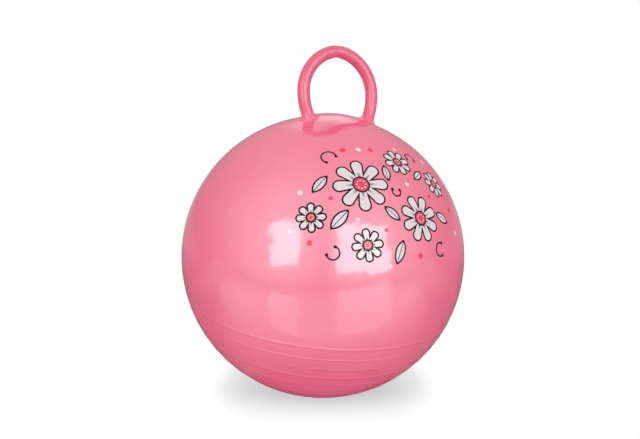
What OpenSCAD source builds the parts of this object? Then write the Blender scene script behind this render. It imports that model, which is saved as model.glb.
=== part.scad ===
// Hopper ball: an inflated vinyl ball with a hollow loop handle to hold on to,
// an air valve with its push-in plug, and a flower print in three inks.
// Millimetres, +Z up. The origin is on the floor, under the middle of the ball,
// and the printed side faces -Y.

/* [Ball] */
// Diameter of the inflated ball
ball_d = 450; // [400:5:520]
// Thickness of the vinyl skin
skin_wall = 1; // [0.6:0.1:2]
// Diameter of the flat patch that the ball rests on
foot_d = 88; // [60:2:120]
// Radius of the crown that the handle draws up
crown_r = 155; // [140:5:175]
// Angle from the top, at the ball's centre, at which the crown leaves the ball
crown_angle = 20; // [18:1:23]

/* [Grip ribs] */
// Number of raised ribs round the lower half
rib_count = 7; // [1:1:8]
// Height of a rib above the skin
rib_h = 0.5; // [0.3:0.1:1]
// Width of a rib at the skin
rib_w = 3; // [2:0.5:6]
// Latitude of the highest rib, below the equator
rib_lat = 18; // [18:0.5:26]
// Angle from one rib to the next
rib_step = 5.5; // [4:0.5:7]

/* [Handle] */
// Diameter of the handle's tube
handle_d = 19; // [17:0.5:24]
// Wall of the handle's tube
handle_wall = 2.5; // [1.5:0.5:4]
// Greatest width of the loop, between the middles of its tube
loop_w = 117; // [108:1:135]
// Height of the loop's peak above its roots, measured along the loop
loop_h = 104; // [92:1:120]
// Radius of the two legs, which draws the roots in under the loop
leg_r = 92; // [90:0.5:160]
// Extra radius of the two upper arcs, which gives the loop its slight peak
peak_extra = 6; // [1:0.5:8]
// Angle by which the resting loop leans back, away from the print
handle_lean = 16; // [0:1:22]
// Length of a root, from the crown up to the part of the loop that bends
root_l = 18; // [14:1:24]
// Radius of the fillet where a root flares into the ball
flare_r = 8; // [5:0.5:10]

/* [Valve] */
// Latitude of the valve on the back of the ball
valve_lat = 62; // [50:1:64]
// Diameter of the bore that the plug is pushed into
valve_bore_d = 9; // [7:0.5:11]
// Diameter of the seat's collar, which goes through the skin
collar_d = 18; // [15:0.5:20]
// Depth of the collar below the skin
collar_l = 12; // [8:1:20]
// Diameter of the seat's rim on the skin
rim_d = 30; // [28:1:36]
// Height of the rim above the skin
rim_h = 1.6; // [1.4:0.1:2.4]
// Depth of the recess in the rim that the plug's head sits in
recess_h = 1; // [0.6:0.1:1.2]
// Diameter of the plug's head
head_d = 15; // [13:0.5:17]
// Thickness of the plug's head
head_h = 2; // [1.8:0.1:3]
// Length of the plug's shank below its head
shank_l = 17; // [14:1:22]
// Number of ridges round the shank
ridge_count = 4; // [2:1:5]
// Depth of the grooves between the ridges
groove_h = 0.6; // [0.3:0.1:0.9]
// Reach of the pull lip from the middle of the head
lip_reach = 14; // [13:0.5:16]
// Width of the pull lip
lip_w = 8; // [6:0.5:10]

/* [Print] */
// Radius of the largest flower
flower_r = 39; // [30:1:42]
// Petals of one flower
petal_count = 8; // [6:1:9]
// Radius of a large dot
dot_r = 5; // [3:0.5:6]
// Length of a leaf
leaf_l = 38; // [28:1:40]
// Width of a leaf
leaf_w = 15; // [10:1:17]
// Width of the dark lines
line_w = 2.4; // [1.2:0.2:2.4]
// Thickness of the ink as it is modelled
ink_t = 0.2; // [0.1:0.05:0.4]

/* [Hidden] */
$fn = 96;

// Clearances: pieces of one moulding, the handle's bend, and the plug
weld_gap = 0.05;
flex_gap = 0.2;
plug_fit = 0.1;
seat_gap = 0.2;
head_gap = 0.5;
// How far every cut runs past the face that it leaves by
overrun = 5;

ball_r = ball_d / 2;
foot_r = foot_d / 2;
centre_z = sqrt(pow(ball_r, 2) - pow(foot_r, 2));
crown_z = (ball_r - crown_r) / cos(crown_angle);
crown_top = crown_z + crown_r;
// A rib is the part of a circle that stands out of the skin
rib_r = (pow(rib_w / 2, 2) + pow(rib_h, 2)) / (2 * rib_h);

tube_r = handle_d / 2;
tube_bore_r = tube_r - handle_wall;
// Two upper arcs meet at the peak, and two leg arcs run down to the roots
peak_r = loop_w / 2 + peak_extra;
peak_arc = acos(peak_extra / peak_r);
wide_h = loop_h - peak_r * sin(peak_arc);
leg_arc = asin(wide_h / leg_r);
root_arc = root_l / leg_r * 180 / PI;
flex_arc = flex_gap / leg_r * 180 / PI;
overrun_arc = overrun / leg_r * 180 / PI;
mitre_arc = overrun / peak_r * 180 / PI;
// Place of the roots on the crown, where the handle bends
root_x = loop_w / 2 - leg_r * (1 - cos(leg_arc));
root_z = centre_z + crown_z + sqrt(pow(crown_r, 2) - pow(root_x, 2));
// A root's flare stands halfway between the crown's normal and the leaning leg
flare_tilt = (leg_arc + asin(root_x / crown_r)) / 2;
flare_lean = handle_lean / 2;

rim_top = rim_h;
recess_floor = rim_h - recess_h;
ridge_r = valve_bore_d / 2 - plug_fit;
ridge_pitch = shank_l / (ridge_count + 1);
head_bottom = recess_floor + seat_gap;
lip_bottom = rim_top + seat_gap;

// Flowers: azimuth, latitude, share of the largest flower's radius, turn
flower_shares = [
    [-12.5, 44.5, 1, 6],
    [15.5, 31, 0.85, 15],
    [17, 54.5, 0.55, 0],
    [-11, 22, 0.55, 9],
    [38, 42.5, 0.52, 20],
    [-34, 30, 0.5, 12]
];
// Leaves: azimuth, latitude, share of the leaf's length, turn
leaf_shares = [
    [-22.5, 30.5, 0.85, 52],
    [1, 33.5, 0.65, -44],
    [4, 49.8, 0.6, 84],
    [27, 47.5, 0.6, 20],
    [2.5, 19.5, 0.8, 68],
    [30.5, 29.5, 0.7, -36],
    [-33, 43, 0.75, 62]
];
// Curls: azimuth, latitude, share of the leaf's length, start, sweep
curl_shares = [
    [-31, 55.5, 0.28, 20, 240],
    [6, 41.8, 0.18, 140, 240],
    [24, 18.5, 0.26, 60, 235],
    [33, 55.5, 0.22, -60, 240],
    [-24, 18.5, 0.24, 200, 235]
];
// Dots: azimuth, latitude, share of the large dot's radius
red_dot_shares = [
    [-22, 60, 0.9], [-3, 27.5, 0.6], [27, 38.5, 0.7], [-27, 38, 0.6],
    [0, 61, 0.8], [41, 31, 0.8], [-33, 21, 0.8], [12, 17.5, 0.8]
];
white_dot_shares = [
    [-10, 61, 0.8], [-41, 38.5, 0.8], [-15, 31, 0.5], [25, 61, 0.6], [14.5, 44.5, 0.7],
    [46, 52, 0.7], [-41, 24, 0.6], [-2, 14.5, 0.7], [40, 22, 0.6]
];
petal_share = 0.19;
petal_root_share = 0.1;
eye_share = 0.27;

// Half outline of the ball's skin, drawn in by inset, with its centre at zero
module ball_outline(inset) {
    r = ball_r - inset;
    c = crown_r - inset;
    intersection() {
        union() {
            circle(r = r);
            translate([0, crown_z]) circle(r = c);
            polygon([[0, r * cos(crown_angle)],
                     [r * sin(crown_angle), r * cos(crown_angle)],
                     [c * sin(crown_angle), crown_z + c * cos(crown_angle)],
                     [0, crown_z + c * cos(crown_angle)]]);
        }
        translate([0, inset - centre_z]) square([2 * ball_r, 2 * crown_top]);
    }
}

module ball_solid(inset) {
    translate([0, 0, centre_z]) rotate_extrude() ball_outline(inset);
}

// Raised ribs round the lower half, as rings on the skin
module rib_outlines() {
    for (k = [0:rib_count - 1])
        rotate(-rib_lat - k * rib_step)
            translate([ball_r + rib_h - rib_r, 0]) circle(r = rib_r);
}

// Puts its children on the valve's spot, with +Z straight out of the skin
module at_valve() {
    translate([0, 0, centre_z]) rotate([valve_lat - 90, 0, 0])
        translate([0, 0, ball_r]) children();
}

// Puts its children on the crown at one root, side 1 or -1, along the flare
module at_root(side) {
    translate([side * root_x, 0, root_z]) rotate([-flare_lean, 0, 0])
        rotate([0, side * flare_tilt, 0]) children();
}

// Puts its children in the leaning loop's own plane, at the roots' height
module in_loop_plane() {
    translate([0, 0, root_z]) rotate([-handle_lean, 0, 0]) children();
}

// Piece of a bent rod on the loop's right side, from its widest height
module bent_rod(bend_r, start, sweep, r) {
    translate([loop_w / 2 - bend_r, 0, wide_h]) rotate([90, 0, 0])
        rotate([0, 0, start]) rotate_extrude(angle = sweep)
            translate([bend_r, 0]) circle(r = r);
}

// Right half of the loop as a rod, cut square at the peak
module loop_rod(r, extra_arc) {
    intersection() {
        union() {
            bent_rod(leg_r, 0, root_arc + flex_arc - leg_arc - extra_arc, r);
            bent_rod(peak_r, 0, peak_arc + mitre_arc, r);
        }
        translate([0, -loop_h, -loop_h]) cube([loop_w, 2 * loop_h, 3 * loop_h]);
    }
}

module loop_half() {
    difference() {
        loop_rod(tube_r, 0);
        loop_rod(tube_bore_r, overrun_arc);
    }
}

module ball_skin() {
    color([0.957, 0.518, 0.616])
    difference() {
        translate([0, 0, centre_z]) rotate_extrude() union() {
            ball_outline(0);
            intersection() {
                rib_outlines();
                translate([0, -centre_z]) square(ball_d);
            }
        }
        ball_solid(skin_wall);
        at_valve() translate([0, 0, -collar_l])
            cylinder(d = collar_d + 2 * weld_gap, h = collar_l + rim_d);
        for (side = [-1, 1])
            at_root(side) translate([0, 0, -flare_r - overrun])
                cylinder(r = tube_bore_r, h = 2 * (flare_r + overrun));
    }
}

// One root: the flare on the crown and the start of the leg, trimmed to the ball
module handle_root(side) {
    color([0.949, 0.459, 0.573])
    difference() {
        union() {
            at_root(side) rotate_extrude() difference() {
                translate([0, -flare_r]) square([tube_r + flare_r, 2 * flare_r]);
                translate([tube_r + flare_r, flare_r]) circle(r = flare_r);
            }
            in_loop_plane() mirror([side < 0 ? 1 : 0, 0, 0])
                bent_rod(leg_r, root_arc - leg_arc, -root_arc - overrun_arc, tube_r);
        }
        in_loop_plane() mirror([side < 0 ? 1 : 0, 0, 0])
            bent_rod(leg_r, root_arc - leg_arc + overrun_arc,
                     -root_arc - 4 * overrun_arc, tube_bore_r);
        ball_solid(-weld_gap);
    }
}

module handle_root_left() { handle_root(-1); }

module handle_root_right() { handle_root(1); }

module handle_loop() {
    color([0.945, 0.494, 0.600])
    in_loop_plane() {
        loop_half();
        mirror([1, 0, 0]) loop_half();
    }
}

// Seat of the valve: a rim welded round the hole and a collar inside the ball
module valve_seat() {
    color([0.929, 0.447, 0.557])
    at_valve() difference() {
        union() {
            intersection() {
                cylinder(d = rim_d, h = 2 * rim_h, center = true);
                translate([0, 0, -ball_r]) difference() {
                    sphere(r = ball_r + rim_h);
                    sphere(r = ball_r + weld_gap);
                }
            }
            translate([0, 0, -collar_l]) cylinder(d = collar_d, h = collar_l + recess_floor);
        }
        translate([0, 0, recess_floor]) cylinder(d = head_d + 2 * head_gap, h = overrun);
        translate([0, 0, -collar_l - overrun])
            cylinder(d = valve_bore_d, h = collar_l + rim_h + 2 * overrun);
    }
}

// Plug: a head with a pull lip, and a ridged shank with a tapered tip
module valve_plug() {
    color([0.94, 0.93, 0.91])
    at_valve() translate([0, 0, head_bottom]) {
        cylinder(d = head_d, h = head_h);
        translate([0, 0, lip_bottom - head_bottom])
            linear_extrude(height = head_h - lip_bottom + head_bottom) union() {
                translate([lip_reach - lip_w / 2, 0]) circle(d = lip_w);
                translate([0, -lip_w / 2]) square([lip_reach - lip_w / 2, lip_w]);
            }
        translate([0, 0, -shank_l]) cylinder(r = ridge_r - groove_h, h = shank_l);
        for (k = [1:ridge_count])
            translate([0, 0, -k * ridge_pitch])
                cylinder(r1 = ridge_r - groove_h, r2 = ridge_r, h = ridge_pitch / 2);
        translate([0, 0, -shank_l - ridge_pitch / 2])
            cylinder(r1 = ridge_r / 2, r2 = ridge_r - groove_h, h = ridge_pitch / 2);
    }
}

// Puts its children, a flat motif, on the ball at a place of the table
module on_ball(place) {
    translate([0, 0, centre_z]) rotate([0, 0, place[0]]) rotate([90 - place[1], 0, 0])
        translate([0, 0, ball_r - foot_r / 2]) linear_extrude(height = foot_r) children();
}

// Keeps only what lies in the ink's layer, straight on the skin
module ink_layer() {
    intersection() {
        children();
        translate([0, 0, centre_z]) difference() {
            sphere(r = ball_r + weld_gap + ink_t);
            sphere(r = ball_r + weld_gap);
        }
    }
}

// Petals of a flower of radius r, each grown all round by grow
module petals(r, grow) {
    p = r * petal_share;
    for (k = [0:petal_count - 1])
        rotate(k * 360 / petal_count) {
            translate([r - p, 0]) circle(r = p + grow);
            polygon([[0, -r * petal_root_share - grow], [r - p, -p - grow],
                     [r - p, p + grow], [0, r * petal_root_share + grow]]);
        }
}

// Leaf between two arcs, l long and w wide, grown all round by grow
module leaf(l, w, grow) {
    r = (pow(l, 2) + pow(w, 2)) / (4 * w);
    intersection() {
        translate([0, r - w / 2]) circle(r = r + grow);
        translate([0, w / 2 - r]) circle(r = r + grow);
    }
}

// Curl: an open ring with round ends
module curl(r, start, sweep) {
    intersection() {
        difference() {
            circle(r = r + line_w / 2);
            circle(r = r - line_w / 2);
        }
        rotate(start) sector(2 * r, sweep);
    }
    for (a = [start, start + sweep])
        rotate(a) translate([r, 0]) circle(r = line_w);
}

// Fan of four corners, wide enough for any sweep under a full turn
module sector(r, sweep) {
    polygon([[0, 0], for (k = [0:4]) 2 * r * [cos(k * sweep / 4), sin(k * sweep / 4)]]);
}

module print_white() {
    color([0.96, 0.93, 0.93])
    ink_layer() union() {
        for (f = flower_shares)
            on_ball(f) rotate(f[3]) difference() {
                petals(f[2] * flower_r, 0);
                circle(r = f[2] * flower_r * eye_share + line_w + 2 * weld_gap);
            }
        for (f = leaf_shares)
            on_ball(f) rotate(f[3]) difference() {
                leaf(f[2] * leaf_l, f[2] * leaf_w, 0);
                square([f[2] * leaf_l, line_w / 2 + 2 * weld_gap], center = true);
            }
        for (f = white_dot_shares)
            on_ball(f) circle(r = f[2] * dot_r);
    }
}

module print_red() {
    color([0.92, 0.13, 0.25])
    ink_layer() union() {
        for (f = flower_shares)
            on_ball(f) circle(r = f[2] * flower_r * eye_share);
        for (f = red_dot_shares)
            on_ball(f) circle(r = f[2] * dot_r);
    }
}

module print_dark() {
    color([0.16, 0.13, 0.15])
    ink_layer() union() {
        for (f = flower_shares)
            on_ball(f) rotate(f[3]) {
                difference() {
                    petals(f[2] * flower_r, line_w);
                    petals(f[2] * flower_r, weld_gap);
                    circle(r = f[2] * flower_r * eye_share + line_w);
                }
                difference() {
                    circle(r = f[2] * flower_r * eye_share + line_w);
                    circle(r = f[2] * flower_r * eye_share + weld_gap);
                }
            }
        for (f = leaf_shares)
            on_ball(f) rotate(f[3]) {
                difference() {
                    leaf(f[2] * leaf_l, f[2] * leaf_w, line_w);
                    leaf(f[2] * leaf_l, f[2] * leaf_w, weld_gap);
                }
                square([f[2] * leaf_l, line_w / 2], center = true);
            }
        for (f = curl_shares)
            on_ball(f) curl(f[2] * leaf_l, f[3], f[4]);
    }
}

ball_skin();
handle_root_left();
handle_root_right();
handle_loop();
valve_seat();
valve_plug();
print_white();
print_red();
print_dark();
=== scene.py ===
# Hopper ball: an inflated vinyl ball with a loop handle, a valve with its plug and a flower print.
# Metres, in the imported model's own frame. The file follows the ball as it is put together.
import math

import bmesh
import bpy
from mathutils import Euler, Matrix, Vector


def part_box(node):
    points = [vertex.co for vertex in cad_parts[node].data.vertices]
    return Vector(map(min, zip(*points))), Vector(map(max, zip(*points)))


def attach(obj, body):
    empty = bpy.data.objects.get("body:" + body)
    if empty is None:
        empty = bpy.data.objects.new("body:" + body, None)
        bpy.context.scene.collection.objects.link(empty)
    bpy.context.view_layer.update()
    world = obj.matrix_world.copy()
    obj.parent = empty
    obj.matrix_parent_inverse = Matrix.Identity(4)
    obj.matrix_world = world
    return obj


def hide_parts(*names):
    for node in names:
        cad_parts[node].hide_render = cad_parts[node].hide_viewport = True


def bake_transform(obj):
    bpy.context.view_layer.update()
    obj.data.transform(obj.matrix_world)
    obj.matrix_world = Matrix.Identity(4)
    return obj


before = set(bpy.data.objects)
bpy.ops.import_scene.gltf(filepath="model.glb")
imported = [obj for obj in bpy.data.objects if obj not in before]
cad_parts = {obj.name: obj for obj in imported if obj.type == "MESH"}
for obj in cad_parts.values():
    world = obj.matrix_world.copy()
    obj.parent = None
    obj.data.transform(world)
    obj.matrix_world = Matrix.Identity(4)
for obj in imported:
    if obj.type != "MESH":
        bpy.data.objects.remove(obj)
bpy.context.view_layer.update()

# Camera. It stands a little above the ball and to the left of the print, and is rolled by a few
# degrees, because the ball in the photograph leans to the right on its floor.
ball_low, ball_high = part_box("ball_skin")
ball_r = round((ball_high.x - ball_low.x) / 2, 3)
foot_r = 0.044
ball_centre = Vector((0, 0, math.sqrt(ball_r ** 2 - foot_r ** 2)))
photo_w, photo_h = 640, 439
photo_ball_x, photo_ball_y = 322.9, 256.5
focal_pixels = 868.4
camera_distance = 1.4
camera_height = math.radians(17)
camera_side = math.radians(-27.5)
camera_roll = math.radians(6.5)
camera_turn = Euler((math.pi / 2 - camera_height, 0, camera_side)).to_matrix()
camera_turn = camera_turn @ Matrix.Rotation(camera_roll, 3, "Z")

lens = bpy.data.cameras.new("photo_camera")
lens.sensor_width = 36
lens.lens = focal_pixels * lens.sensor_width / photo_w
lens.shift_x = (photo_w / 2 - photo_ball_x) / photo_w
lens.shift_y = (photo_ball_y - photo_h / 2) / photo_w
camera = bpy.data.objects.new("photo_camera", lens)
camera.matrix_world = camera_turn.to_4x4()
camera.location = ball_centre + camera_turn @ Vector((0, 0, camera_distance))
bpy.context.scene.collection.objects.link(camera)
bpy.context.scene.camera = camera
bpy.context.scene.view_settings.view_transform = "Standard"


# Floor and studio. The floor is white paper under two softboxes. It leans with the camera's roll, so
# that it looks level under the upright ball, and a glossy ray sees the softboxes mirrored in it.
floor_size = 12
floor_bounce = 0.89
floor_normal = camera_turn @ Vector((0, math.cos(camera_height), math.sin(camera_height)))
floor_turn = Vector((0, 0, 1)).rotation_difference(floor_normal)
lean = floor_normal.angle(Vector((0, 0, 1)))
floor_drop = ball_r * math.cos(math.asin(foot_r / ball_r) - lean)

bpy.ops.object.select_all(action="DESELECT")
bpy.ops.mesh.primitive_plane_add(size=floor_size, location=ball_centre - floor_drop * floor_normal)
floor = bpy.context.object
floor.name = "studio_floor"
floor.rotation_mode = "QUATERNION"
floor.rotation_quaternion = floor_turn


def new_material(name):
    """A new material with an empty node tree, and that tree."""
    material = bpy.data.materials.new(name)
    material.use_nodes = True
    tree = material.node_tree
    tree.nodes.clear()
    return material, tree


def put(value, socket):
    """Links another socket's value to a socket, or sets a plain value on it."""
    if isinstance(value, bpy.types.NodeSocket):
        socket.id_data.links.new(value, socket)
    else:
        socket.default_value = value


def add_node(tree, kind, **settings):
    """A shader node. A setting whose name is a socket's is put on that socket, linked or set."""
    node = tree.nodes.new("ShaderNode" + kind)
    for name, value in settings.items():
        if hasattr(node, name):
            setattr(node, name, value)
        else:
            put(value, node.inputs[name.replace("_", " ")])
    return node


def work_out(tree, operation, *values, kind="Math"):
    """The number that a Math or VectorMath node makes of sockets or plain values."""
    node = add_node(tree, kind, operation=operation)
    for value, socket in zip(values, node.inputs):
        put(value, socket)
    return node.outputs["Value"]


# The paper's own shade is white but for the soft shadow round the foot. Its places are measured from
# the spot under the ball: towards the camera, and all round.
shadow_reach = 0.075
shadow_samples = 16
shadow_depth = 0.50
shadow_front = (0.02, 0.16)
shadow_end = (0.155, 0.20)
paper_ior = 1.6
paper_roughness = 0.05
least_mirror, most_mirror = 0.08, 0.80

paper, paper_tree = new_material("floor_paper")
rays = add_node(paper_tree, "LightPath")
to_front = camera_turn @ Vector((0, 0, 1))
to_front = (to_front - to_front.dot(floor_normal) * floor_normal).normalized()
spot = add_node(paper_tree, "TexCoord").outputs["Object"]
front = work_out(paper_tree, "DOT_PRODUCT", spot, floor_turn.inverted() @ to_front, kind="VectorMath")
away = work_out(paper_tree, "LENGTH", spot, kind="VectorMath")
contact = add_node(paper_tree, "AmbientOcclusion", samples=shadow_samples, Distance=shadow_reach)


def fade(tree, value, start, end, low, high):
    """A smooth step from low to high while the value goes from start to end."""
    step = add_node(tree, "MapRange", interpolation_type="SMOOTHSTEP", Value=value, From_Min=start,
                    From_Max=end, To_Min=low, To_Max=high)
    return step.outputs["Result"]


depth = fade(paper_tree, front, *shadow_front, shadow_depth, 1.0)
depth = fade(paper_tree, away, *shadow_end, depth, 1.0)
shadow = add_node(paper_tree, "MapRange", Value=contact.outputs["AO"], To_Min=depth, To_Max=1.0)
bounce = add_node(paper_tree, "MapRange", Value=rays.outputs["Is Diffuse Ray"],
                  To_Min=shadow.outputs["Result"], To_Max=floor_bounce)
shade = add_node(paper_tree, "Emission", Strength=bounce.outputs["Result"])

# In the gloss of the ball the paper shows lit before the ball and again far away, and faintly all
# round. Each sheet of light is given by the distances where it fades in or out, and its light there.
near_sheet = ((away, 2.2, 0.6, 0.7, 2.35), (front, 0.0, 0.45, 0.0, None), (away, 0.14, 0.42, 0.0, None))
far_sheet = ((away, 0.3, 1.2, 0.0, 0.85), (front, -0.5, 0.25, 0.0, None))
rear_sheet = ((away, 0.5, 1.6, 0.0, 0.26),)
brightest = 0.0
for sheet_steps in (near_sheet, far_sheet, rear_sheet):
    sheet_light = 1.0
    for value, start, end, low, high in sheet_steps:
        sheet_light = fade(paper_tree, value, start, end, low, high or sheet_light)
    brightest = work_out(paper_tree, "MAXIMUM", brightest, sheet_light)
sheet = add_node(paper_tree, "Emission", Strength=brightest)
grazing = add_node(paper_tree, "Fresnel", IOR=paper_ior)
mirror = add_node(paper_tree, "MapRange", Value=grazing.outputs[0], To_Min=least_mirror, To_Max=most_mirror)
polish = add_node(paper_tree, "BsdfGlossy", Color=mirror.outputs["Result"], Roughness=paper_roughness)
mirrored = add_node(paper_tree, "AddShader")
put(sheet.outputs[0], mirrored.inputs[0])
put(polish.outputs[0], mirrored.inputs[1])
shown = add_node(paper_tree, "MixShader")
put(rays.outputs["Is Glossy Ray"], shown.inputs[0])
put(shade.outputs[0], shown.inputs[1])
put(mirrored.outputs[0], shown.inputs[2])
add_node(paper_tree, "OutputMaterial", Surface=shown.outputs[0])
floor.data.materials.append(paper)

# Softboxes: name, degrees right and up of the camera, and degrees wide and high, seen from the ball
softboxes = (("softbox_left", -28.7, 9, 22, 32), ("softbox_right", 31, 6, 41, 36))
lamp_distance = 5.0
lamp_glow = 6.3
lamp_ways = []
for name, right, up, wide, high in softboxes:
    lamp = bpy.data.lights.new(name, "AREA")
    lamp.shape = "RECTANGLE"
    lamp.size = 2 * lamp_distance * math.tan(math.radians(wide / 2))
    lamp.size_y = 2 * lamp_distance * math.tan(math.radians(high / 2))
    lamp.energy = math.pi * lamp.size * lamp.size_y * lamp_glow
    holder = bpy.data.objects.new(name, lamp)
    lamp_turn = camera_turn @ Euler((math.radians(-up), math.radians(right), 0), "XYZ").to_matrix()
    holder.matrix_world = lamp_turn.to_4x4()
    lamp_ways.append(lamp_turn @ Vector((0, 0, 1)))
    holder.location = ball_centre + lamp_distance * lamp_ways[-1]
    holder.visible_diffuse = False
    bpy.context.scene.collection.objects.link(holder)

# Studio around them. Straight rays see white, diffuse ones an even light, and glossy ones a dark room
# with a glow around each softbox and under the ceiling, and a lit strip of backdrop behind the ball.
ambient, ambient_top = 0.80, 0.16
room_least = 0.12
room_glow, room_falloff = 4.5, 4.5
ceiling_glow, ceiling_falloff = 1.5, 3.0
strip_glow, strip_shift = 1.45, 0.03
world = bpy.data.worlds.new("studio")
bpy.context.scene.world = world
world.use_nodes = True
studio = world.node_tree
studio.nodes.clear()
studio_rays = add_node(studio, "LightPath")
direction = add_node(studio, "TexCoord").outputs["Generated"]


def facing(way):
    """How far a world ray points along a way, from -1 to 1."""
    return work_out(studio, "DOT_PRODUCT", direction, way, kind="VectorMath")


def glow(way, strength, falloff):
    """A wide glow of the room around a way."""
    nearness = add_node(studio, "MapRange", Value=facing(way), From_Min=-1.0, From_Max=1.0)
    narrowed = work_out(studio, "POWER", nearness.outputs["Result"], falloff)
    return work_out(studio, "MULTIPLY", narrowed, strength)


# A Mix node's sockets for each kind of value: the first, the second and the result
mix_sockets = {"FLOAT": (2, 3, 0), "RGBA": (6, 7, 2)}


def mix(tree, kind, factor, first, second):
    """The first value where the factor is 0, the second where it is 1, and their mix between."""
    node = add_node(tree, "Mix", data_type=kind, Factor=factor)
    first_socket, second_socket, result = mix_sockets[kind]
    put(first, node.inputs[first_socket])
    put(second, node.inputs[second_socket])
    return node.outputs[result]


behind = facing(camera_turn @ Vector((0, 0, -1)))
above = facing(floor_normal)
across = work_out(studio, "SUBTRACT", facing(camera_turn @ Vector((1, 0, 0))), strip_shift)
aside = work_out(studio, "ABSOLUTE", across)
# The strip's edges: along what it fades, where it is gone, and where it is full
strip_edges = ((behind, 0.35, 0.75), (above, 0.25, 0.50), (above, 0.78, 0.62), (aside, 0.26, 0.05))
strip = strip_glow
for value, gone, full in strip_edges:
    strip = fade(studio, value, gone, full, 0.0, strip)
lamp_glows = [glow(way, room_glow, room_falloff) for way in lamp_ways]
room = work_out(studio, "MAXIMUM", *lamp_glows)
for extra in (glow(floor_normal, ceiling_glow, ceiling_falloff), strip, room_least):
    room = work_out(studio, "ADD", room, extra)
even = add_node(studio, "MapRange", Value=above, From_Min=0.0, From_Max=1.0, To_Min=ambient,
                To_Max=ambient + ambient_top)
sky_light = even.outputs["Result"]
for ray, strength in (("Is Glossy Ray", room), ("Is Camera Ray", 1.0), ("Is Transmission Ray", 1.0)):
    sky_light = mix(studio, "FLOAT", studio_rays.outputs[ray], sky_light, strength)
sky = add_node(studio, "Background", Color=(1, 1, 1, 1), Strength=sky_light)
add_node(studio, "OutputWorld", Surface=sky.outputs[0])


# Skin. One shell of soft PVC, moulded with its grip ribs and blown up, so the handle draws its top up
# into a crown and its own weight flattens the foot. It is open into both legs and into the valve.
skin_wall = 0.001
outline_steps = 240
cone_steps = 8
crown_steps = 14
crown_r = 0.155
crown_angle = math.radians(20)
crown_centre = ball_centre + Vector((0, 0, (ball_r - crown_r) / math.cos(crown_angle)))
rib_count = 7
rib_h = 0.0003
rib_w = 0.003
bead_steps = 6
# Degrees from the widest line down to the first rib, and from one rib to the next
first_rib = 18
rib_pitch = 5.5
# How near counts as there: a point to a place, two points to each other, and a share of a size
pick_reach = 0.0001
join_reach = 0.00002
pick_share = 0.01


def pick(test):
    """Selects in edit mode the vertices whose place passes the test, with the faces between them."""
    bpy.ops.mesh.select_mode(type="VERT")
    bpy.ops.mesh.select_all(action="DESELECT")
    shape = bmesh.from_edit_mesh(bpy.context.object.data)
    for vertex in shape.verts:
        vertex.select = test(vertex.co)
    shape.select_flush_mode()
    bmesh.update_edit_mesh(bpy.context.object.data)


def pick_parts(kind, test):
    """Selects in edit mode the edges or faces whose middle passes the test."""
    bpy.ops.mesh.select_mode(type=kind)
    bpy.ops.mesh.select_all(action="DESELECT")
    shape = bmesh.from_edit_mesh(bpy.context.object.data)
    for part in shape.edges if kind == "EDGE" else shape.faces:
        middle = sum((v.co for v in part.verts), Vector()) / len(part.verts)
        part.select_set(test(middle))
    bmesh.update_edit_mesh(bpy.context.object.data)


def cut_outline(at, normal, **clear):
    """Cuts the whole open piece along a plane."""
    bpy.ops.mesh.select_all(action="SELECT")
    bpy.ops.mesh.bisect(plane_co=at, plane_no=normal, **clear)


def start_piece(name):
    """Applies the new primitive's place, names it and opens it for editing."""
    piece = bpy.context.object
    piece.name = name
    bpy.ops.object.transform_apply(location=True, rotation=True, scale=True)
    bpy.ops.object.mode_set(mode="EDIT")
    return piece


def close_piece(smooth_angle):
    """Joins the open piece's seams, turns its faces outwards and shades it."""
    bpy.ops.mesh.select_mode(type="VERT")
    bpy.ops.mesh.select_all(action="SELECT")
    bpy.ops.mesh.remove_doubles(threshold=join_reach)
    bpy.ops.mesh.normals_make_consistent(inside=False)
    bpy.ops.object.mode_set(mode="OBJECT")
    bpy.ops.object.shade_smooth_by_angle(angle=smooth_angle)


def apply_modifier(piece, kind, **settings):
    """Adds a modifier to a piece and applies it at once."""
    modifier = piece.modifiers.new(kind.lower(), kind)
    for name, value in settings.items():
        setattr(modifier, name, value)
    bpy.context.view_layer.objects.active = piece
    bpy.ops.object.modifier_apply(modifier=modifier.name)


# The outline starts as a circle, of which the right half stays between the foot and the crown's cone
bpy.ops.object.select_all(action="DESELECT")
bpy.ops.mesh.primitive_circle_add(vertices=outline_steps, radius=ball_r, location=ball_centre,
                                  rotation=(math.pi / 2, 0, 0))
skin = start_piece("skin")
cone_top = ball_centre + ball_r * Vector((math.sin(crown_angle), 0, math.cos(crown_angle)))
cut_outline((0, 0, 0), (1, 0, 0), clear_inner=True)
cut_outline((0, 0, 0), (0, 0, 1), clear_inner=True)
cut_outline(cone_top, (0, 0, 1), clear_outer=True)

# Each rib is a bead of a small circle in place of a short piece of the outline
bead_r = ((rib_w / 2) ** 2 + rib_h ** 2) / (2 * rib_h)
bead_reach = ball_r + rib_h - bead_r
rib_spread = math.acos((ball_r ** 2 + bead_reach ** 2 - bead_r ** 2) / (2 * ball_r * bead_reach))
bead_sweep = 2 * math.atan2(ball_r * math.sin(rib_spread), ball_r * math.cos(rib_spread) - bead_reach)
for rib in range(rib_count):
    rib_angle = -math.radians(first_rib + rib_pitch * rib)
    for side in (-1, 1):
        edge_angle = rib_angle + side * rib_spread
        cut_outline(ball_centre, (-math.sin(edge_angle), 0, math.cos(edge_angle)))

    def off_rib(place):
        """Angle from the rib's middle up to a place on the outline."""
        from_centre = place - ball_centre
        return math.atan2(from_centre.z, from_centre.x) - rib_angle

    pick_parts("EDGE", lambda place: abs(off_rib(place)) < rib_spread * (1 - pick_share))
    bpy.ops.mesh.delete(type="EDGE")
    pick(lambda place: abs(off_rib(place) + rib_spread) < rib_spread * pick_share)
    bead_centre = ball_centre + bead_reach * Vector((math.cos(rib_angle), 0, math.sin(rib_angle)))
    bpy.ops.mesh.spin(steps=bead_steps, angle=bead_sweep, center=bead_centre, axis=(0, 1, 0))

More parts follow.
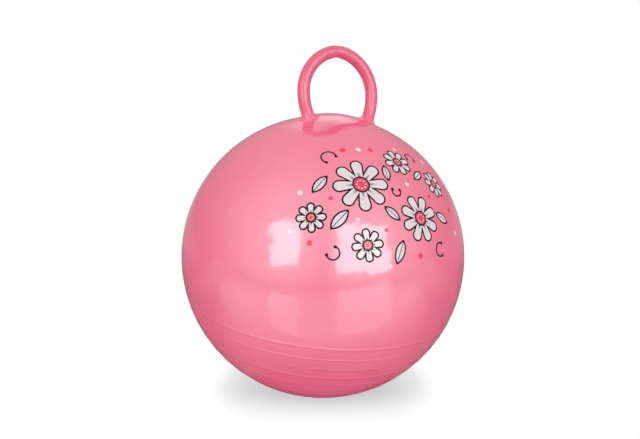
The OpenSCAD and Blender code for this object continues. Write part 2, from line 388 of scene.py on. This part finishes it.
# The cone and the crown close the top and one edge the foot, and the outline is spun to the skin
pick(lambda place: place.z > cone_top.z - pick_reach)
cone_end = crown_centre + crown_r * Vector((math.sin(crown_angle), 0, math.cos(crown_angle)))
cone_step = (cone_end - cone_top) / cone_steps
for step in range(cone_steps):
    bpy.ops.mesh.extrude_region_move(TRANSFORM_OT_translate={"value": cone_step})
bpy.ops.mesh.spin(steps=crown_steps, angle=crown_angle, center=crown_centre, axis=(0, 1, 0))
pick(lambda place: place.z < pick_reach)
bpy.ops.mesh.extrude_region_move(TRANSFORM_OT_translate={"value": (-foot_r, 0, 0)})
pick(lambda place: abs(place.x) < skin_wall)
bpy.ops.transform.resize(value=(0, 1, 1), center_override=(0, 0, 0))
bpy.ops.mesh.select_all(action="SELECT")
bpy.ops.mesh.remove_doubles(threshold=join_reach)
bpy.ops.mesh.select_all(action="SELECT")
bpy.ops.mesh.spin(steps=outline_steps, angle=2 * math.pi, center=(0, 0, 0), axis=(0, 0, 1))
close_piece(smooth_angle=math.radians(30))

# The wall goes inwards, and the holes for the valve and the two legs are cut through it
valve_lat = math.radians(62)
valve_turn = Euler((valve_lat - math.pi / 2, 0, 0)).to_matrix()
valve_place = ball_centre + valve_turn @ Vector((0, 0, ball_r))
collar_r = 0.009
loop_w = 0.117
loop_h = 0.104
leg_r = 0.092
peak_extra = 0.006
tube_r = 0.0095
tube_wall = 0.0025
peak_r = loop_w / 2 + peak_extra
peak_arc = math.acos(peak_extra / peak_r)
wide_h = loop_h - peak_r * math.sin(peak_arc)
leg_arc = math.asin(wide_h / leg_r)
root_x = loop_w / 2 - leg_r * (1 - math.cos(leg_arc))
root_z = crown_centre.z + math.sqrt(crown_r ** 2 - root_x ** 2)
root_tilt = math.asin(root_x / crown_r)
punch_l = 0.02
punch_corners = 48

apply_modifier(skin, "SOLIDIFY", thickness=skin_wall, offset=-1)
holes = [(valve_place, (valve_lat - math.pi / 2, 0, 0), collar_r)]
for side in (-1, 1):
    holes.append(((side * root_x, 0, root_z), (0, side * root_tilt, 0), tube_r - tube_wall))
for place, tilt, hole_r in holes:
    bpy.ops.object.select_all(action="DESELECT")
    bpy.ops.mesh.primitive_cylinder_add(vertices=punch_corners, radius=hole_r, depth=punch_l,
                                        location=place, rotation=tilt)
    punch = bpy.context.object
    apply_modifier(skin, "BOOLEAN", operation="DIFFERENCE", solver="EXACT", object=punch)
    bpy.data.objects.remove(punch)
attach(skin, "ball")
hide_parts("ball_skin")


# The finish: how large its patches are, how the hairlines are turned and drawn out, and the noise values
# between which each mask fades in
cloud_edges = (0.35, 0.70)
hair_size = 0.02
hair_turn = (0.5, 0.9, 0.3)
hair_stretch = (1, 1, 14)
hair_edges = (0.60, 0.72)
rub_size = 0.09
rub_edges = (0.50, 0.75)
grain_size = 0.0016


def moulded_finish():
    """The finish that this ball's pieces share: cloudy pigment, a slow waviness left by the mould and the
    air inside, a fine grain, and hairline scuffs that dull the gloss."""
    group = bpy.data.node_groups.new("moulded_finish", "ShaderNodeTree")
    for name, kind in (("Colour", "NodeSocketColor"), ("Deep Colour", "NodeSocketColor"),
                       ("Cloud Size", "NodeSocketFloat"), ("Gloss Roughness", "NodeSocketFloat"),
                       ("Wave", "NodeSocketFloat"), ("Wave Size", "NodeSocketFloat"),
                       ("Grain", "NodeSocketFloat"), ("Scuffs", "NodeSocketFloat")):
        group.interface.new_socket(name, in_out="INPUT", socket_type=kind)
    for name, kind in (("Colour", "NodeSocketColor"), ("Roughness", "NodeSocketFloat"),
                       ("Normal", "NodeSocketVector")):
        group.interface.new_socket(name, in_out="OUTPUT", socket_type=kind)
    given = group.nodes.new("NodeGroupInput").outputs
    made = group.nodes.new("NodeGroupOutput").inputs
    place = add_node(group, "TexCoord").outputs["Object"]

    def noise(size, detail, vector=place):
        """Noise from 0 to 1 whose patches are about size across, in metres."""
        scale = work_out(group, "DIVIDE", 1.0, size)
        return add_node(group, "TexNoise", Vector=vector, Scale=scale, Detail=detail).outputs["Fac"]

    def between(value, edges):
        """0 where a value is under the first edge and 1 where it is over the second."""
        return add_node(group, "MapRange", Value=value, From_Min=edges[0], From_Max=edges[1]).outputs[0]

    cloud = between(noise(given["Cloud Size"], detail=3), cloud_edges)
    put(mix(group, "RGBA", cloud, given["Colour"], given["Deep Colour"]), made["Colour"])

    stretched = add_node(group, "Mapping", Vector=place, Rotation=hair_turn, Scale=hair_stretch)
    hairs = between(noise(hair_size, detail=5, vector=stretched.outputs[0]), hair_edges)
    rubbed = between(noise(rub_size, detail=2), rub_edges)
    worn = work_out(group, "MULTIPLY", hairs, rubbed)
    dulled = work_out(group, "MULTIPLY_ADD", worn, given["Scuffs"], given["Gloss Roughness"])
    put(dulled, made["Roughness"])

    waves = work_out(group, "MULTIPLY", noise(given["Wave Size"], detail=2), given["Wave"])
    grain = work_out(group, "MULTIPLY_ADD", noise(grain_size, detail=2), given["Grain"], waves)
    bump = add_node(group, "Bump", Height=grain, Strength=1.0, Distance=1.0)
    put(bump.outputs[0], made["Normal"])
    return group


finish_group = moulded_finish()
vinyl_ior = 1.6


def moulded_material(name, colour, deep_colour, cloud_size=0.11, roughness=0.12, wave=0.0,
                     wave_size=0.05, grain=0.000001, scuffs=0.2, gloss=0.5):
    """A moulded plastic with the shared finish, in the material's own colours and gloss."""
    material, tree = new_material(name)
    finish = add_node(tree, "Group", node_tree=finish_group, Colour=(*colour, 1),
                      Deep_Colour=(*deep_colour, 1), Cloud_Size=cloud_size, Gloss_Roughness=roughness,
                      Wave=wave, Wave_Size=wave_size, Grain=grain, Scuffs=scuffs)
    surface = add_node(tree, "BsdfPrincipled", Base_Color=finish.outputs["Colour"],
                       Roughness=finish.outputs["Roughness"], Normal=finish.outputs["Normal"],
                       IOR=vinyl_ior, Specular_IOR_Level=gloss)
    add_node(tree, "OutputMaterial", Surface=surface.outputs[0])
    return material


skin_colour = (0.93, 0.155, 0.275)
skin_deep_colour = (0.92, 0.14, 0.255)
skin_roughness = 0.12
skin_wave = 0.0014
skin.data.materials.append(moulded_material("skin_vinyl", skin_colour, skin_deep_colour,
                                            roughness=skin_roughness, wave=skin_wave))


# Handle. One hollow tube of the same PVC, bent to a loop with a slight peak. Its legs flare out where
# they are fused to the crown, and from there the whole loop leans back.
tube_corners = 40
leg_steps = 24
loop_steps = 48
loop_overrun = 0.06
flare_r = 0.008
flare_rings = 8
flare_sunk = 0.0001
free_rise = 3 * flare_r
lean_back = math.radians(16)
peak_soft = 0.008
peak_passes = 10
# The handle's colours are the skin's darkened by about a fifth, which is painted shade
handle_shaded_colour = (0.75, 0.120, 0.214)
handle_shaded_deep_colour = (0.73, 0.108, 0.199)
leg_centre = Vector((loop_w / 2 - leg_r, 0, root_z + wide_h))
peak_centre = Vector((-peak_extra, 0, root_z + wide_h))


def on_leg(arc):
    """Middle of the right leg at an angle below its widest place."""
    return leg_centre + leg_r * Vector((math.cos(arc), 0, -math.sin(arc)))


def spin_ring(steps, angle, centre):
    """Draws the open ring at the tube's end along an arc about a centre in the loop's plane."""
    bpy.ops.mesh.spin(steps=steps, angle=angle, center=centre, axis=(0, 1, 0))


bpy.ops.object.select_all(action="DESELECT")
bpy.ops.mesh.primitive_circle_add(vertices=tube_corners, radius=tube_r + flare_r,
                                  location=on_leg(leg_arc), rotation=(0, leg_arc, 0))
handle = start_piece("handle")
ring_r = tube_r + flare_r
climbed = 0
for ring in range(1, flare_rings + 1):
    fillet = ring / flare_rings * math.pi / 2
    height = flare_r * (1 - math.cos(fillet))
    new_r = tube_r + flare_r * (1 - math.sin(fillet))
    spin_ring(1, (height - climbed) / leg_r, leg_centre)
    bpy.ops.transform.resize(value=(new_r / ring_r,) * 3,
                             center_override=on_leg(leg_arc - height / leg_r))
    ring_r, climbed = new_r, height
spin_ring(leg_steps, leg_arc - climbed / leg_r, leg_centre)
spin_ring(loop_steps, peak_arc + loop_overrun, peak_centre)
cut_outline((0, 0, 0), (1, 0, 0), clear_inner=True)
close_piece(smooth_angle=math.radians(60))
apply_modifier(handle, "MIRROR", use_mirror_merge=True, merge_threshold=pick_reach)

# The loop leans back from its roots. The flare's rings turn from that lean to the crown's surface, on
# which they settle, the lowest one just under it, and all that is well above them leans in full.
hinge = Vector((0, 0, root_z))
for vertex in handle.data.vertices:
    side = 1 if vertex.co.x > 0 else -1
    from_root = vertex.co - Vector((side * root_x, 0, root_z))
    height = from_root.dot(Vector((side * math.sin(leg_arc), 0, math.cos(leg_arc))))
    free = min(max(height / flare_r, 0), 1)
    if vertex.co.z > root_z + free_rise:
        free = 1
    free = free ** 2 * (3 - 2 * free)
    from_crown = vertex.co - crown_centre
    settled = crown_centre + from_crown.normalized() * (crown_r + height - flare_sunk)
    leaned = hinge + Matrix.Rotation(-lean_back * free, 3, "X") @ (vertex.co - hinge)
    vertex.co = settled.lerp(leaned, free)

bpy.ops.object.select_all(action="DESELECT")
bpy.context.view_layer.objects.active = handle
handle.select_set(True)
bpy.ops.object.mode_set(mode="EDIT")
for soft in (peak_soft, peak_soft / 2):
    pick(lambda place: abs(place.x) < soft and place.z > root_z + loop_h / 2)
    bpy.ops.mesh.vertices_smooth(factor=0.5, repeat=peak_passes)
bpy.ops.object.mode_set(mode="OBJECT")
apply_modifier(handle, "SOLIDIFY", thickness=tube_wall, offset=-1)
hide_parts("handle_loop", "handle_root_left", "handle_root_right")
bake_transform(handle)
handle_vinyl = moulded_material("handle_vinyl", handle_shaded_colour, handle_shaded_deep_colour, cloud_size=0.05,
                                roughness=0.30, grain=0.0, scuffs=0.0, gloss=0.25)

# The fused foot of each leg shades over from the skin's colour, gloss and waves to the handle's own gloss
# and to its colour with the painted shade
handle_tree = handle_vinyl.node_tree
handle_shader = handle_tree.nodes["Principled BSDF"]
handle_finish = handle_tree.nodes["Group"]
place = add_node(handle_tree, "TexCoord").outputs["Object"]
from_crown = work_out(handle_tree, "DISTANCE", place, crown_centre, kind="VectorMath")
fused_top = crown_r + 2 * flare_r
risen = fade(handle_tree, from_crown, crown_r, fused_top, 0.0, 1.0)
put(fade(handle_tree, from_crown, crown_r, fused_top, skin_wave, 0.0), handle_finish.inputs["Wave"])
for name, kind, skin_value in (("Base Color", "RGBA", (*skin_colour, 1)),
                               ("Roughness", "FLOAT", skin_roughness)):
    socket = handle_shader.inputs[name]
    put(mix(handle_tree, kind, risen, skin_value, socket.links[0].from_socket), socket)
handle.data.materials.append(handle_vinyl)


# Valve seat. A thick vinyl rim welded round the hole on the back of the ball, with a recess for the
# plug's head and a collar that reaches inwards round the bore.
rim_r = 0.015
rim_h = 0.0016
rim_sunk = 0.0006
recess_r = 0.008
recess_h = 0.001
bore_r = 0.0045
collar_l = 0.012
edge_r = 0.0004
seat_corners = 64
seat_colour = (0.84, 0.165, 0.265)
seat_deep_colour = (0.80, 0.14, 0.235)


def at_valve(piece):
    """Moves a piece that was made round its own Z axis onto the valve's place."""
    piece.data.transform(valve_turn.to_4x4())
    piece.data.transform(Matrix.Translation(valve_place))


def grow_face(inset=0, lift=0):
    """Insets the selected face and moves it along its normal, as one step of a lathe's cut."""
    if inset:
        bpy.ops.mesh.inset(thickness=inset)
    if lift:
        bpy.ops.mesh.extrude_region_move(TRANSFORM_OT_translate={"value": (0, 0, lift)})


bpy.ops.object.select_all(action="DESELECT")
bpy.ops.mesh.primitive_cylinder_add(vertices=seat_corners, radius=rim_r, depth=rim_h + rim_sunk,
                                    location=(0, 0, (rim_h - rim_sunk) / 2))
seat = start_piece("valve_seat_ring")
pick(lambda place: place.z > rim_h / 2)
grow_face(inset=rim_r - recess_r)
grow_face(lift=-recess_h)
grow_face(inset=recess_r - bore_r)
grow_face(lift=-collar_l - rim_h + recess_h)
bpy.ops.mesh.delete(type="FACE")
pick(lambda place: place.z < 0 and place.xy.length > rim_r / 2)
grow_face(inset=rim_r - collar_r)
grow_face(lift=rim_sunk - collar_l)
grow_face(inset=collar_r - bore_r)
bpy.ops.mesh.delete(type="FACE")
close_piece(smooth_angle=math.radians(30))
apply_modifier(seat, "BEVEL", width=edge_r, segments=3, limit_method="ANGLE",
               angle_limit=math.radians(60))
at_valve(seat)
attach(seat, "ball")
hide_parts("valve_seat")
seat.data.materials.append(moulded_material("seat_vinyl", seat_colour, seat_deep_colour,
                                            cloud_size=0.02, wave=0.00004, wave_size=0.008))


# Plug. A small injection moulding of hard white plastic, pushed into the bore: a head with a lip to
# pull it by, and a shank whose ridges grip the collar.
plug_corners = 48
seat_gap = 0.0002
head_r = 0.0075
head_h = 0.002
head_edge = 0.00025
head_bottom = rim_h - recess_h + seat_gap
head_top = head_bottom + head_h
shank_l = 0.017
tip_share = 0.55
ridge_count = 4
ridge_h = 0.0006
ridge_gap = 0.0001
ridge_r = bore_r - ridge_gap
groove_r = ridge_r - ridge_h
ridge_pitch = shank_l / (ridge_count + 1)
lip_reach = 0.014
lip_w = 0.008
lip_bottom = rim_h + seat_gap
lip_side_share = 0.42
lip_corner_share = 0.44
plug_colour = (0.80, 0.79, 0.76)
plug_deep_colour = (0.74, 0.72, 0.68)

bpy.ops.object.select_all(action="DESELECT")
bpy.ops.mesh.primitive_cylinder_add(vertices=plug_corners, radius=head_r, depth=head_h,
                                    location=(0, 0, head_bottom + head_h / 2))
plug = start_piece("valve_plug_moulding")
pick(lambda place: place.z < head_bottom + head_h / 2)
grow_face(inset=head_r - groove_r)
for ridge in range(ridge_count):
    grow_face(lift=-ridge_pitch / 2)
    bpy.ops.mesh.extrude_region_move()
    bpy.ops.transform.resize(value=(ridge_r / groove_r, ridge_r / groove_r, 1), center_override=(0, 0, 0))
    grow_face(lift=-ridge_pitch / 2)
    bpy.ops.transform.resize(value=(groove_r / ridge_r, groove_r / ridge_r, 1), center_override=(0, 0, 0))
grow_face(lift=-ridge_pitch)
grow_face(lift=-ridge_pitch / 2)
bpy.ops.transform.resize(value=(tip_share, tip_share, 1), center_override=(0, 0, 0))

# The head is split where the lip starts, and the lip is drawn out of its side and rounded at its end
cut_outline((0, 0, lip_bottom), (0, 0, 1))
pick_parts("FACE", lambda place: lip_bottom < place.z < head_top - head_h * pick_share
           and place.x > 0 and abs(place.y) < lip_w / 2)
bpy.ops.mesh.extrude_region_move(TRANSFORM_OT_translate={"value": (lip_reach - head_r, 0, 0)})
bpy.ops.transform.resize(value=(0, 1, 1), center_override=(lip_reach, 0, 0))
pick_parts("FACE", lambda place: place.x > head_r)
bpy.ops.mesh.dissolve_limited(angle_limit=math.radians(1))
pick_parts("EDGE", lambda place: place.x > lip_reach - edge_r and abs(place.y) > lip_w * lip_side_share
           and lip_bottom + edge_r / 2 < place.z < head_top - edge_r / 2)
bpy.ops.mesh.bevel(offset=lip_w * lip_corner_share, segments=8, affect="EDGES")
close_piece(smooth_angle=math.radians(30))
apply_modifier(plug, "BEVEL", width=head_edge, segments=2, limit_method="ANGLE",
               angle_limit=math.radians(50))
at_valve(plug)
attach(plug, "plug")
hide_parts("valve_plug")
plug.data.materials.append(moulded_material("plug_plastic", plug_colour, plug_deep_colour, cloud_size=0.01,
                                            roughness=0.35, wave=0.00002, wave_size=0.006))


# Print. Three silk-screened inks on the upper front of the skin: white petals, leaves and dots, red
# flower eyes and dots, and dark outlines, veins and curls. Each shape is cut flat and laid on the ball.
flower_r = 0.039
petal_count = 8
petal_share = 0.19
petal_root_share = 0.1
eye_share = 0.27
eye_dot_share = 0.12
eye_dot_place = 0.62
dot_r = 0.005
leaf_l = 0.038
leaf_w = 0.015
line_w = 0.0024
vein_w = 0.0010
vein_tip_share = 0.3
leaf_corners = 128
curl_steps = 40
# Veins of a petal: angle from its middle in radians, and reach as a share of the flower's radius
veins = ((-0.09, 0.2), (0, 0.3), (0.09, 0.2))
# Flowers: azimuth, latitude, share of the largest flower's radius, and turn, with angles in degrees
flowers = [(-12.5, 44.5, 1, 6), (15.5, 31, 0.85, 15), (17, 54.5, 0.55, 0), (-11, 22, 0.55, 9),
           (38, 42.5, 0.52, 20), (-34, 30, 0.5, 12)]
# Leaves: azimuth, latitude, share of the largest leaf, and turn
leaves = [(-22.5, 30.5, 0.85, 52), (1, 33.5, 0.65, -44), (4, 49.8, 0.6, 84), (27, 47.5, 0.6, 20),
          (2.5, 19.5, 0.8, 68), (30.5, 29.5, 0.7, -36), (-33, 43, 0.75, 62)]
# Curls: azimuth, latitude, share of a leaf's length, start, and sweep
curls = [(-31, 55.5, 0.28, 20, 240), (6, 41.8, 0.18, 140, 240), (24, 18.5, 0.26, 60, 235),
         (33, 55.5, 0.22, -60, 240), (-24, 18.5, 0.24, 200, 235)]
# Dots: azimuth, latitude, and share of the largest dot
red_dots = [(-22, 60, 0.9), (-3, 27.5, 0.6), (27, 38.5, 0.7), (-27, 38, 0.6), (0, 61, 0.8), (41, 31, 0.8),
            (-33, 21, 0.8), (12, 17.5, 0.8)]
white_dots = [(-10, 61, 0.8), (-41, 38.5, 0.8), (-15, 31, 0.5), (25, 61, 0.6), (14.5, 44.5, 0.7),
              (46, 52, 0.7), (-41, 24, 0.6), (-2, 14.5, 0.7), (40, 22, 0.6)]
# Heights over the skin: each ink's first layer, and what is laid over the white or the red
ink_t = {"white": 0.00014, "red": 0.00022, "dark": 0.00008}
over_white = 0.00018
over_red = 0.00026
cell_w = 0.003
prints = {ink: [] for ink in ink_t}


def cut_disc(radius, corners=48, x=0.0):
    """Starts a flat round shape, ready to be edited."""
    bpy.ops.object.select_all(action="DESELECT")
    bpy.ops.mesh.primitive_circle_add(vertices=corners, radius=radius, fill_type="NGON",
                                      location=(x, 0, 0))
    start_piece("ink")


def cut_cells():
    """Cuts the open flat shape into small cells, so that it can follow the ball."""
    corners = bmesh.from_edit_mesh(bpy.context.object.data).verts
    cells = math.ceil(max(max(abs(corner.co.x), abs(corner.co.y)) for corner in corners) / cell_w)
    for axis in (Vector((1, 0, 0)), Vector((0, 1, 0))):
        for step in range(-cells, cells):
            cut_outline(axis * (step + 0.5) * cell_w, axis)


def lay_on_ball(ink, azimuth, latitude, turn=0, height=None):
    """Cuts the open flat shape into cells, lays them on the skin and gives them their thickness."""
    cut_cells()
    bpy.ops.object.mode_set(mode="OBJECT")
    shape = bpy.context.object
    height = height or ink_t[ink]
    shape.rotation_euler = (Euler((math.radians(90 - latitude), 0, math.radians(azimuth))).to_matrix()
                            @ Matrix.Rotation(math.radians(turn), 3, "Z")).to_euler()
    shape.location = ball_centre + shape.rotation_euler.to_matrix() @ Vector((0, 0, ball_r + height))
    apply_modifier(shape, "SHRINKWRAP", target=skin, wrap_method="PROJECT", use_project_z=True,
                   use_negative_direction=True, use_positive_direction=False, offset=height)
    apply_modifier(shape, "SOLIDIFY", thickness=height, offset=-1)
    bpy.ops.object.transform_apply(location=True, rotation=True, scale=True)
    prints[ink].append(shape)


def spin_copies(count, start=0.0):
    """Turns the open shape by start and copies it round the motif's middle."""
    bpy.ops.mesh.select_all(action="SELECT")
    bpy.ops.transform.rotate(value=-start, orient_axis="Z", center_override=(0, 0, 0))
    bpy.ops.mesh.spin(steps=count - 1, dupli=True, angle=2 * math.pi * (count - 1) / count,
                      center=(0, 0, 0), axis=(0, 0, 1))


def draw_petals(radius, grow):
    """A ring of petals: a disc whose inner half is drawn in to the flower's middle, spun round as copies."""
    end_r = radius * petal_share
    end_x = radius - end_r
    root_scale = (radius * petal_root_share + grow) / (end_r + grow)
    cut_disc(end_r + grow, x=end_x)
    pick(lambda place: place.x < end_x - end_r * pick_share)
    bpy.ops.transform.resize(value=(root_scale, root_scale, 1), center_override=(end_x, 0, 0))
    bpy.ops.transform.translate(value=(radius * petal_root_share - end_x, 0, 0))
    spin_copies(petal_count)


def draw_veins(radius, reach_share, angle):
    """One tapered stroke on each petal, from the eye outwards."""
    start_x = radius * eye_share
    cut_disc(vein_w / 2, corners=24, x=start_x)
    pick(lambda place: place.x > start_x + vein_w * pick_share)
    bpy.ops.transform.resize(value=(1, vein_tip_share, 1), center_override=(start_x, 0, 0))
    bpy.ops.transform.translate(value=(radius * reach_share, 0, 0))
    spin_copies(petal_count, angle)


def draw_leaf_half(length, width, grow, gap, side):
    """Half a leaf: what one side of its middle line cuts off a large disc."""
    arc_r = (length ** 2 + width ** 2) / (4 * width)
    bpy.ops.object.select_all(action="DESELECT")
    bpy.ops.mesh.primitive_circle_add(vertices=leaf_corners, radius=arc_r + grow, fill_type="NGON",
                                      location=(0, side * (width / 2 - arc_r), 0))
    start_piece("ink")
    cut_outline((0, side * gap / 2, 0), (0, side, 0), clear_inner=True)


def draw_curl(radius, sweep):
    """An open ring with a round dot at each end."""
    bpy.ops.object.select_all(action="DESELECT")
    bpy.ops.mesh.primitive_plane_add(size=line_w, location=(radius, 0, 0))
    start_piece("ink")
    pick(lambda place: place.y > 0)
    bpy.ops.mesh.spin(steps=curl_steps, angle=math.radians(sweep), center=(0, 0, 0), axis=(0, 0, -1))
    for end in (0, math.radians(sweep)):
        bpy.ops.mesh.primitive_circle_add(vertices=24, radius=line_w, fill_type="NGON",
                                          location=(radius * math.cos(end), radius * math.sin(end), 0))


for azimuth, latitude, share, turn in flowers:
    radius = share * flower_r
    draw_petals(radius, line_w)
    lay_on_ball("dark", azimuth, latitude, turn)
    draw_petals(radius, 0)
    lay_on_ball("white", azimuth, latitude, turn)
    for vein_angle, reach_share in veins:
        draw_veins(radius, reach_share, vein_angle)
        lay_on_ball("dark", azimuth, latitude, turn, over_white)
    cut_disc(radius * eye_share + line_w)
    lay_on_ball("dark", azimuth, latitude, turn, over_white)
    cut_disc(radius * eye_share)
    lay_on_ball("red", azimuth, latitude, turn)
    cut_disc(radius * eye_share * eye_dot_share, corners=16, x=radius * eye_share * eye_dot_place)
    spin_copies(petal_count)
    lay_on_ball("white", azimuth, latitude, turn, over_red)

for azimuth, latitude, share, turn in leaves:
    for side in (-1, 1):
        draw_leaf_half(share * leaf_l, share * leaf_w, line_w, 0, side)
        lay_on_ball("dark", azimuth, latitude, turn)
        draw_leaf_half(share * leaf_l, share * leaf_w, 0, line_w / 2, side)
        lay_on_ball("white", azimuth, latitude, turn)

for azimuth, latitude, share, start, sweep in curls:
    draw_curl(share * leaf_l, sweep)
    lay_on_ball("dark", azimuth, latitude, start)

for ink, dots in (("red", red_dots), ("white", white_dots)):
    for azimuth, latitude, share in dots:
        cut_disc(share * dot_r)
        lay_on_ball(ink, azimuth, latitude)

# Inks: colour, its deeper tint where the layer is thin, and gloss
ink_looks = {"white": ((0.83, 0.76, 0.78), (0.80, 0.66, 0.70), 0.2),
             "red": ((0.90, 0.035, 0.10), (0.80, 0.03, 0.08), 0.2),
             "dark": ((0.012, 0.005, 0.007), (0.025, 0.010, 0.014), 0.04)}
for ink, shapes in prints.items():
    bpy.ops.object.select_all(action="DESELECT")
    for shape in shapes:
        shape.select_set(True)
    bpy.context.view_layer.objects.active = shapes[0]
    bpy.ops.object.join()
    inked = bpy.context.object
    inked.name = "ink_" + ink
    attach(inked, "ball")
    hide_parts("print_" + ink)
    colour, deep_colour, gloss = ink_looks[ink]
    inked.data.materials.append(moulded_material("ink_" + ink, colour, deep_colour, cloud_size=0.006,
                                                 wave=skin_wave, roughness=0.25, scuffs=0.0,
                                                 gloss=gloss))
